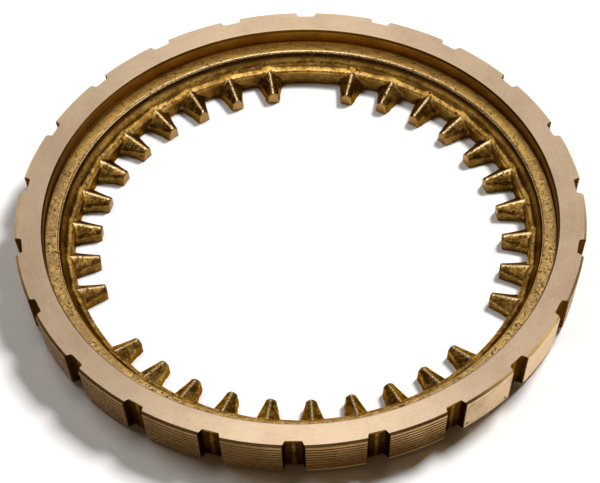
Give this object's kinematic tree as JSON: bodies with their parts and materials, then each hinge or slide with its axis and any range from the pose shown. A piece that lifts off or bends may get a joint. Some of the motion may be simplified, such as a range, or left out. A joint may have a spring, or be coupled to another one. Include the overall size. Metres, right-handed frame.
{
  "type": "synchronizer ring",
  "caption": "Brass synchronizer ring with a grooved outer friction cone, a wide turned face, a stepped bore and roof-shaped dog teeth on its inner edge",
  "frame": {"origin": "on the ring's axis, in the plane of the flange face that the ring rests on", "axes": "+Z is the ring's axis, from the resting face towards the wide turned face; a wide gap between the teeth is centred on +Y"},
  "size_m": [0.153, 0.153, 0.0134],
  "materials": {
    "brass": "turned bright on the faces and the cone, as cast inside"
  },
  "bodies": {
    "root": {"synchronizer_ring": "brass"}
  },
  "joints": []
}
